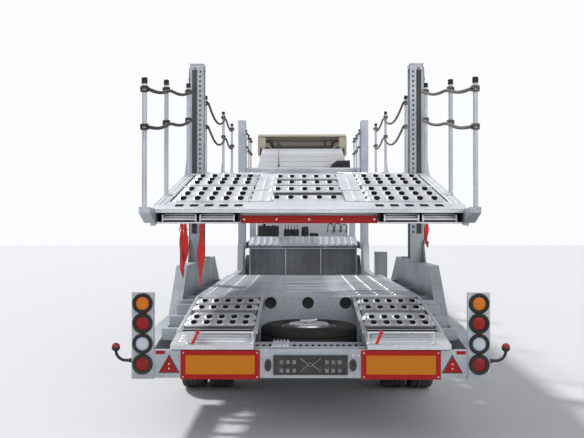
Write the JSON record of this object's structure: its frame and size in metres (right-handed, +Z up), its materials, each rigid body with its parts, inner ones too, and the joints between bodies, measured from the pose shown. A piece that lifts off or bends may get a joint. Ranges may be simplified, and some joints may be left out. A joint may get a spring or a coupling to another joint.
{
  "type": "articulated car transporter truck",
  "caption": "Two-deck car-carrying semi-trailer with lifting platforms, coupled to a two-axle cab-over tractor.",
  "frame": {"origin": "on the road, below the middle of the vehicle's bounding box", "axes": "+Y forward, +X to the right, +Z up"},
  "size_m": [2.82, 16.53, 3.9999],
  "materials": {
    "galvanised_steel": "galvanised, satin",
    "shaded_steel": "grey, satin",
    "tyre": "matt",
    "wheel_steel": "silver, satin",
    "black_plastic": "matt",
    "board_orange": "reflective",
    "lamp_red": "glossy",
    "rubber": "matt",
    "chassis_black": "satin",
    "grey_paint": "satin",
    "rope": "braided",
    "black_paint": "satin",
    "red_paint": "satin",
    "ribbon": "woven",
    "aluminium": "satin",
    "white_paint": "glossy",
    "beige_paint": "satin",
    "cab_trim": "matt",
    "glass": "tinted"
  },
  "bodies": {
    "trailer": {"trailer_frame": "galvanised_steel", "side_frames": "galvanised_steel", "swan_neck": "shaded_steel", "neck_deck": "galvanised_steel", "tail_tracks": "galvanised_steel", "bogie_deck": "galvanised_steel", "well_deck": "galvanised_steel", "spare_cradle": "galvanised_steel", "spare_tyre": "tyre", "spare_rim": "wheel_steel", "tail_beam": "galvanised_steel", "plate_holder": "black_plastic", "marker_boards": "board_orange", "tail_lamps": "lamp_red", "reflectors": "lamp_red", "marker_arms": "rubber", "rear_columns": "galvanised_steel", "front_columns": "galvanised_steel", "trailer_axles": "chassis_black", "landing_legs": "chassis_black", "control_boxes": "grey_paint"},
    "rear_platform": {"rear_platform_frame": "galvanised_steel", "rear_platform_deck": "galvanised_steel", "rear_posts": "galvanised_steel", "rear_ropes": "rope", "ramp_channels": "black_paint", "red_bar": "red_paint", "ribbons": "ribbon"},
    "front_platform": {"front_platform_frame": "galvanised_steel", "front_platform_deck": "galvanised_steel", "front_posts": "galvanised_steel", "front_ropes": "rope"},
    "tail_slide_left": {"tail_slide_left": "galvanised_steel"},
    "tail_slide_right": {"tail_slide_right": "galvanised_steel"},
    "tractor": {"tractor_frame": "chassis_black", "fifth_wheel": "chassis_black", "engine": "chassis_black", "tanks": "aluminium", "mudguards": "black_plastic", "bumper": "white_paint", "cab_steps": "black_plastic"},
    "cab": {"cab_shell": "white_paint", "cab_interior": "cab_trim", "windscreen": "glass", "roof_deflector": "beige_paint", "air_intake": "black_plastic", "mirrors": "black_plastic"},
    "door_left": {"door_left": "white_paint"},
    "door_right": {"door_right": "white_paint"},
    "knuckle_left": {"knuckle_left": "chassis_black"},
    "knuckle_right": {"knuckle_right": "chassis_black"},
    "trailer_wheels_1_left": {"trailer_wheels_1_left": "tyre"},
    "trailer_wheels_1_right": {"trailer_wheels_1_right": "tyre"},
    "trailer_wheels_2_left": {"trailer_wheels_2_left": "tyre"},
    "trailer_wheels_2_right": {"trailer_wheels_2_right": "tyre"},
    "drive_wheels_left": {"drive_wheels_left": "tyre"},
    "drive_wheels_right": {"drive_wheels_right": "tyre"},
    "front_wheel_left": {"front_wheel_left": "tyre"},
    "front_wheel_right": {"front_wheel_right": "tyre"}
  },
  "joints": [
    {"name": "fifth_wheel", "type": "hinge", "parent": "trailer", "child": "tractor", "pos_m": [0, 3.835, 1.15], "axis": [0, 0, 1], "range_deg": [-85, 85]},
    {"name": "rear_platform_lift", "type": "hinge", "parent": "trailer", "child": "rear_platform", "pos_m": [0, 1.235, 2.38], "axis": [1, 0, 0], "range_deg": [-7, 4.5], "deforming": ["ribbons"]},
    {"name": "front_platform_lift", "type": "hinge", "parent": "trailer", "child": "front_platform", "pos_m": [0, 4.96, 2.69], "axis": [1, 0, 0], "range_deg": [-8, 4]},
    {"name": "cab_tilt", "type": "hinge", "parent": "tractor", "child": "cab", "pos_m": [0, 7.935, 1], "axis": [-1, 0, 0], "range_deg": [0, 55]},
    {"name": "door_left_hinge", "type": "hinge", "parent": "cab", "child": "door_left", "pos_m": [-1.163, 7.865, 2], "axis": [0, 0, -1], "range_deg": [0, 70]},
    {"name": "door_right_hinge", "type": "hinge", "parent": "cab", "child": "door_right", "pos_m": [1.163, 7.865, 2], "axis": [0, 0, 1], "range_deg": [0, 70]},
    {"name": "steer_left", "type": "hinge", "parent": "tractor", "child": "knuckle_left", "pos_m": [-0.8, 6.835, 0.48], "axis": [0, 0, 1], "range_deg": [-40, 40]},
    {"name": "steer_right", "type": "hinge", "parent": "tractor", "child": "knuckle_right", "pos_m": [0.8, 6.835, 0.48], "axis": [0, 0, 1], "range_deg": [-40, 40]},
    {"name": "front_wheel_left_roll", "type": "hinge", "parent": "knuckle_left", "child": "front_wheel_left", "pos_m": [-1, 6.835, 0.48], "axis": [1, 0, 0], "continuous": true},
    {"name": "front_wheel_right_roll", "type": "hinge", "parent": "knuckle_right", "child": "front_wheel_right", "pos_m": [1, 6.835, 0.48], "axis": [1, 0, 0], "continuous": true},
    {"name": "drive_wheels_left_roll", "type": "hinge", "parent": "tractor", "child": "drive_wheels_left", "pos_m": [-0.9, 3.235, 0.48], "axis": [1, 0, 0], "continuous": true},
    {"name": "drive_wheels_right_roll", "type": "hinge", "parent": "tractor", "child": "drive_wheels_right", "pos_m": [0.9, 3.235, 0.48], "axis": [1, 0, 0], "continuous": true},
    {"name": "trailer_wheels_1_left_roll", "type": "hinge", "parent": "trailer", "child": "trailer_wheels_1_left", "pos_m": [-0.99, -5.815, 0.3985], "axis": [1, 0, 0], "continuous": true},
    {"name": "trailer_wheels_1_right_roll", "type": "hinge", "parent": "trailer", "child": "trailer_wheels_1_right", "pos_m": [0.99, -5.815, 0.3985], "axis": [1, 0, 0], "continuous": true},
    {"name": "trailer_wheels_2_left_roll", "type": "hinge", "parent": "trailer", "child": "trailer_wheels_2_left", "pos_m": [-0.99, -4.505, 0.3985], "axis": [1, 0, 0], "continuous": true},
    {"name": "trailer_wheels_2_right_roll", "type": "hinge", "parent": "trailer", "child": "trailer_wheels_2_right", "pos_m": [0.99, -4.505, 0.3985], "axis": [1, 0, 0], "continuous": true},
    {"name": "tail_slide_left_pull", "type": "slide", "parent": "trailer", "child": "tail_slide_left", "axis": [0, -0.9904, -0.1385], "range_m": [0, 0.9]},
    {"name": "tail_slide_right_pull", "type": "slide", "parent": "trailer", "child": "tail_slide_right", "axis": [0, -0.9904, -0.1385], "range_m": [0, 0.9]}
  ],
  "couplings": [
    {"joint": "steer_right", "follows": "steer_left", "ratio": 1}
  ]
}
